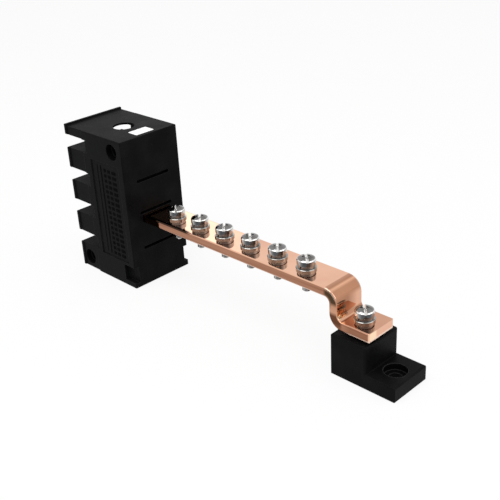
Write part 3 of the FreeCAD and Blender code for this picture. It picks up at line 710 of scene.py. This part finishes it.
# blank table in the side panel: two long rules, each (place, width), and three columns of empty
# fields, each (left, right)
table = {
    "face": supportLow.y + 0.5, "height": 0.16, "sunk": 0.02, "bottom": 17.6, "top": 74.6,
    "rules": ((1.6, 0.35), (4.9, 0.8)),
    "columns": ((7.6, 9.6), (11.2, 13.6), (15.2, 18.8)), "rows": 17, "fill": 0.58,
}


def makeTable(sizes):
    near, far = sizes["face"] - sizes["height"], sizes["face"] + sizes["sunk"]
    bottom, top = sizes["bottom"], sizes["top"]
    pieces = [block("tableRule", (x - width / 2, near, bottom), (x + width / 2, far, top))
              for x, width in sizes["rules"]]
    step = (top - bottom) / sizes["rows"]
    for left, right in sizes["columns"]:
        field = block("tableField", (left, near, bottom), (right, far, bottom + step * sizes["fill"]))
        rows = field.modifiers.new("rows", "ARRAY")
        rows.count = sizes["rows"]
        rows.use_relative_offset = False
        rows.use_constant_offset = True
        rows.constant_offset_displace = (0, 0, step * mm)
        applyAll(field)
        pieces.append(field)
    joinAll(pieces)
    pieces[0].name = "blankTable"
    closeUp(pieces[0])
    return pieces[0]


blankTable = makeTable(table)
blankTable.data.materials.append(mouldedPlastic("tablePlastic", dullBlack))
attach(blankTable, "root")
print("label and table made")


# pale floor, which camera and reflections see lifted towards white; sizes and places in metres
stage = {"size": 6.0, "middle": (0.1, 0, -0.00005), "colour": (0.80, 0.80, 0.80), "lift": 0.88}


def backgroundRays(tree):
    # 1 for rays that see the background: camera, glossy and transmission rays
    path = tree.nodes.new("ShaderNodeLightPath")
    either = path.outputs["Is Camera Ray"]
    for ray in ("Is Glossy Ray", "Is Transmission Ray"):
        either = maths(tree, "MAXIMUM", either, path.outputs[ray])
    return either


def blendShaders(tree, share, first, second, output):
    mixed = tree.nodes.new("ShaderNodeMixShader")
    tree.links.new(share, mixed.inputs["Fac"])
    tree.links.new(first, mixed.inputs[1])
    tree.links.new(second, mixed.inputs[2])
    tree.links.new(mixed.outputs["Shader"], output.inputs["Surface"])


def makeFloor(sizes):
    clearSelection()
    bpy.ops.mesh.primitive_plane_add(size=sizes["size"], location=sizes["middle"])
    floor = bpy.context.object
    floor.name = "floor"
    material = bpy.data.materials.new("floorPaper")
    material.use_nodes = True
    tree = material.node_tree
    tree.nodes.clear()
    output = tree.nodes.new("ShaderNodeOutputMaterial")
    paper = tree.nodes.new("ShaderNodeBsdfDiffuse")
    paper.inputs["Color"].default_value = (*sizes["colour"], 1)
    glow = tree.nodes.new("ShaderNodeEmission")
    glow.inputs["Strength"].default_value = 1
    seen = maths(tree, "MULTIPLY", backgroundRays(tree), sizes["lift"])
    blendShaders(tree, seen, paper.outputs["BSDF"], glow.outputs["Emission"], output)
    floor.data.materials.append(material)
    floor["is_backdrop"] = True


# soft boxes; each is (power in W, place, width and height, where it points), in metres
light = {
    "skyStrength": 0.75,
    "keyLight": (3.6, (0.05, -0.3, 0.8), (0.6, 0.6), (0.09, 0, 0.04)),
    "fillLight": (2.0, (0.8, 0.25, 0.6), (0.7, 0.7), (0.09, 0, 0.04)),
    "backLight": (0.045, (-0.69, 0.636, 0.496), (0.188, 0.16), (0.06, 0, 0.045)),
    "backCore": (0.036, (-0.73, 0.636, 0.496), (0.158, 0.16), (0.05, 0, 0.045)),
}


def makeLight(name, power, place, size, aim):
    data = bpy.data.lights.new(name, "AREA")
    data.energy = power
    data.shape = "RECTANGLE"
    data.size, data.size_y = size
    lamp = bpy.data.objects.new(name, data)
    lamp.location = place
    lamp.rotation_mode = "QUATERNION"
    lamp.rotation_quaternion = (Vector(aim) - Vector(place)).to_track_quat("-Z", "Y")
    scene.collection.objects.link(lamp)


def makeSky(strengths):
    # soft on the object, and white behind it
    world = bpy.data.worlds.new("studio")
    scene.world = world
    world.use_nodes = True
    tree = world.node_tree
    tree.nodes.clear()
    output = tree.nodes.new("ShaderNodeOutputWorld")
    backgrounds = []
    for strength in (strengths["skyStrength"], 1):
        background = tree.nodes.new("ShaderNodeBackground")
        background.inputs["Color"].default_value = (1, 1, 1, 1)
        background.inputs["Strength"].default_value = strength
        backgrounds.append(background.outputs["Background"])
    blendShaders(tree, backgroundRays(tree), *backgrounds, output)


# the photograph's view; angles in degrees, lens and sensor in mm, place in metres
camera = {"azimuth": 45.891, "elevation": 26.509, "roll": -3.18, "lens": 61.758, "sensor": 36,
          "place": (0.40362, -0.28899, 0.24999)}


def makeCamera(view):
    azimuth, elevation, roll = (math.radians(view[key]) for key in ("azimuth", "elevation", "roll"))
    ahead = Vector((-math.sin(azimuth) * math.cos(elevation), math.cos(azimuth) * math.cos(elevation),
                    -math.sin(elevation)))
    level = Vector((math.cos(azimuth), math.sin(azimuth), 0))
    above = level.cross(ahead)
    right = math.cos(roll) * level + math.sin(roll) * above
    up = math.cos(roll) * above - math.sin(roll) * level
    data = bpy.data.cameras.new("photoCamera")
    data.lens = view["lens"]
    data.sensor_width = view["sensor"]
    viewer = bpy.data.objects.new("photoCamera", data)
    turn = Matrix((right, up, -ahead)).transposed().to_4x4()
    viewer.matrix_world = Matrix.Translation(view["place"]) @ turn
    scene.collection.objects.link(viewer)
    scene.camera = viewer


makeFloor(stage)
makeSky(light)
for name in ("keyLight", "fillLight", "backLight", "backCore"):
    makeLight(name, *light[name])
makeCamera(camera)
scene.view_settings.view_transform = "Standard"
print("stage set")

low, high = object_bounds()
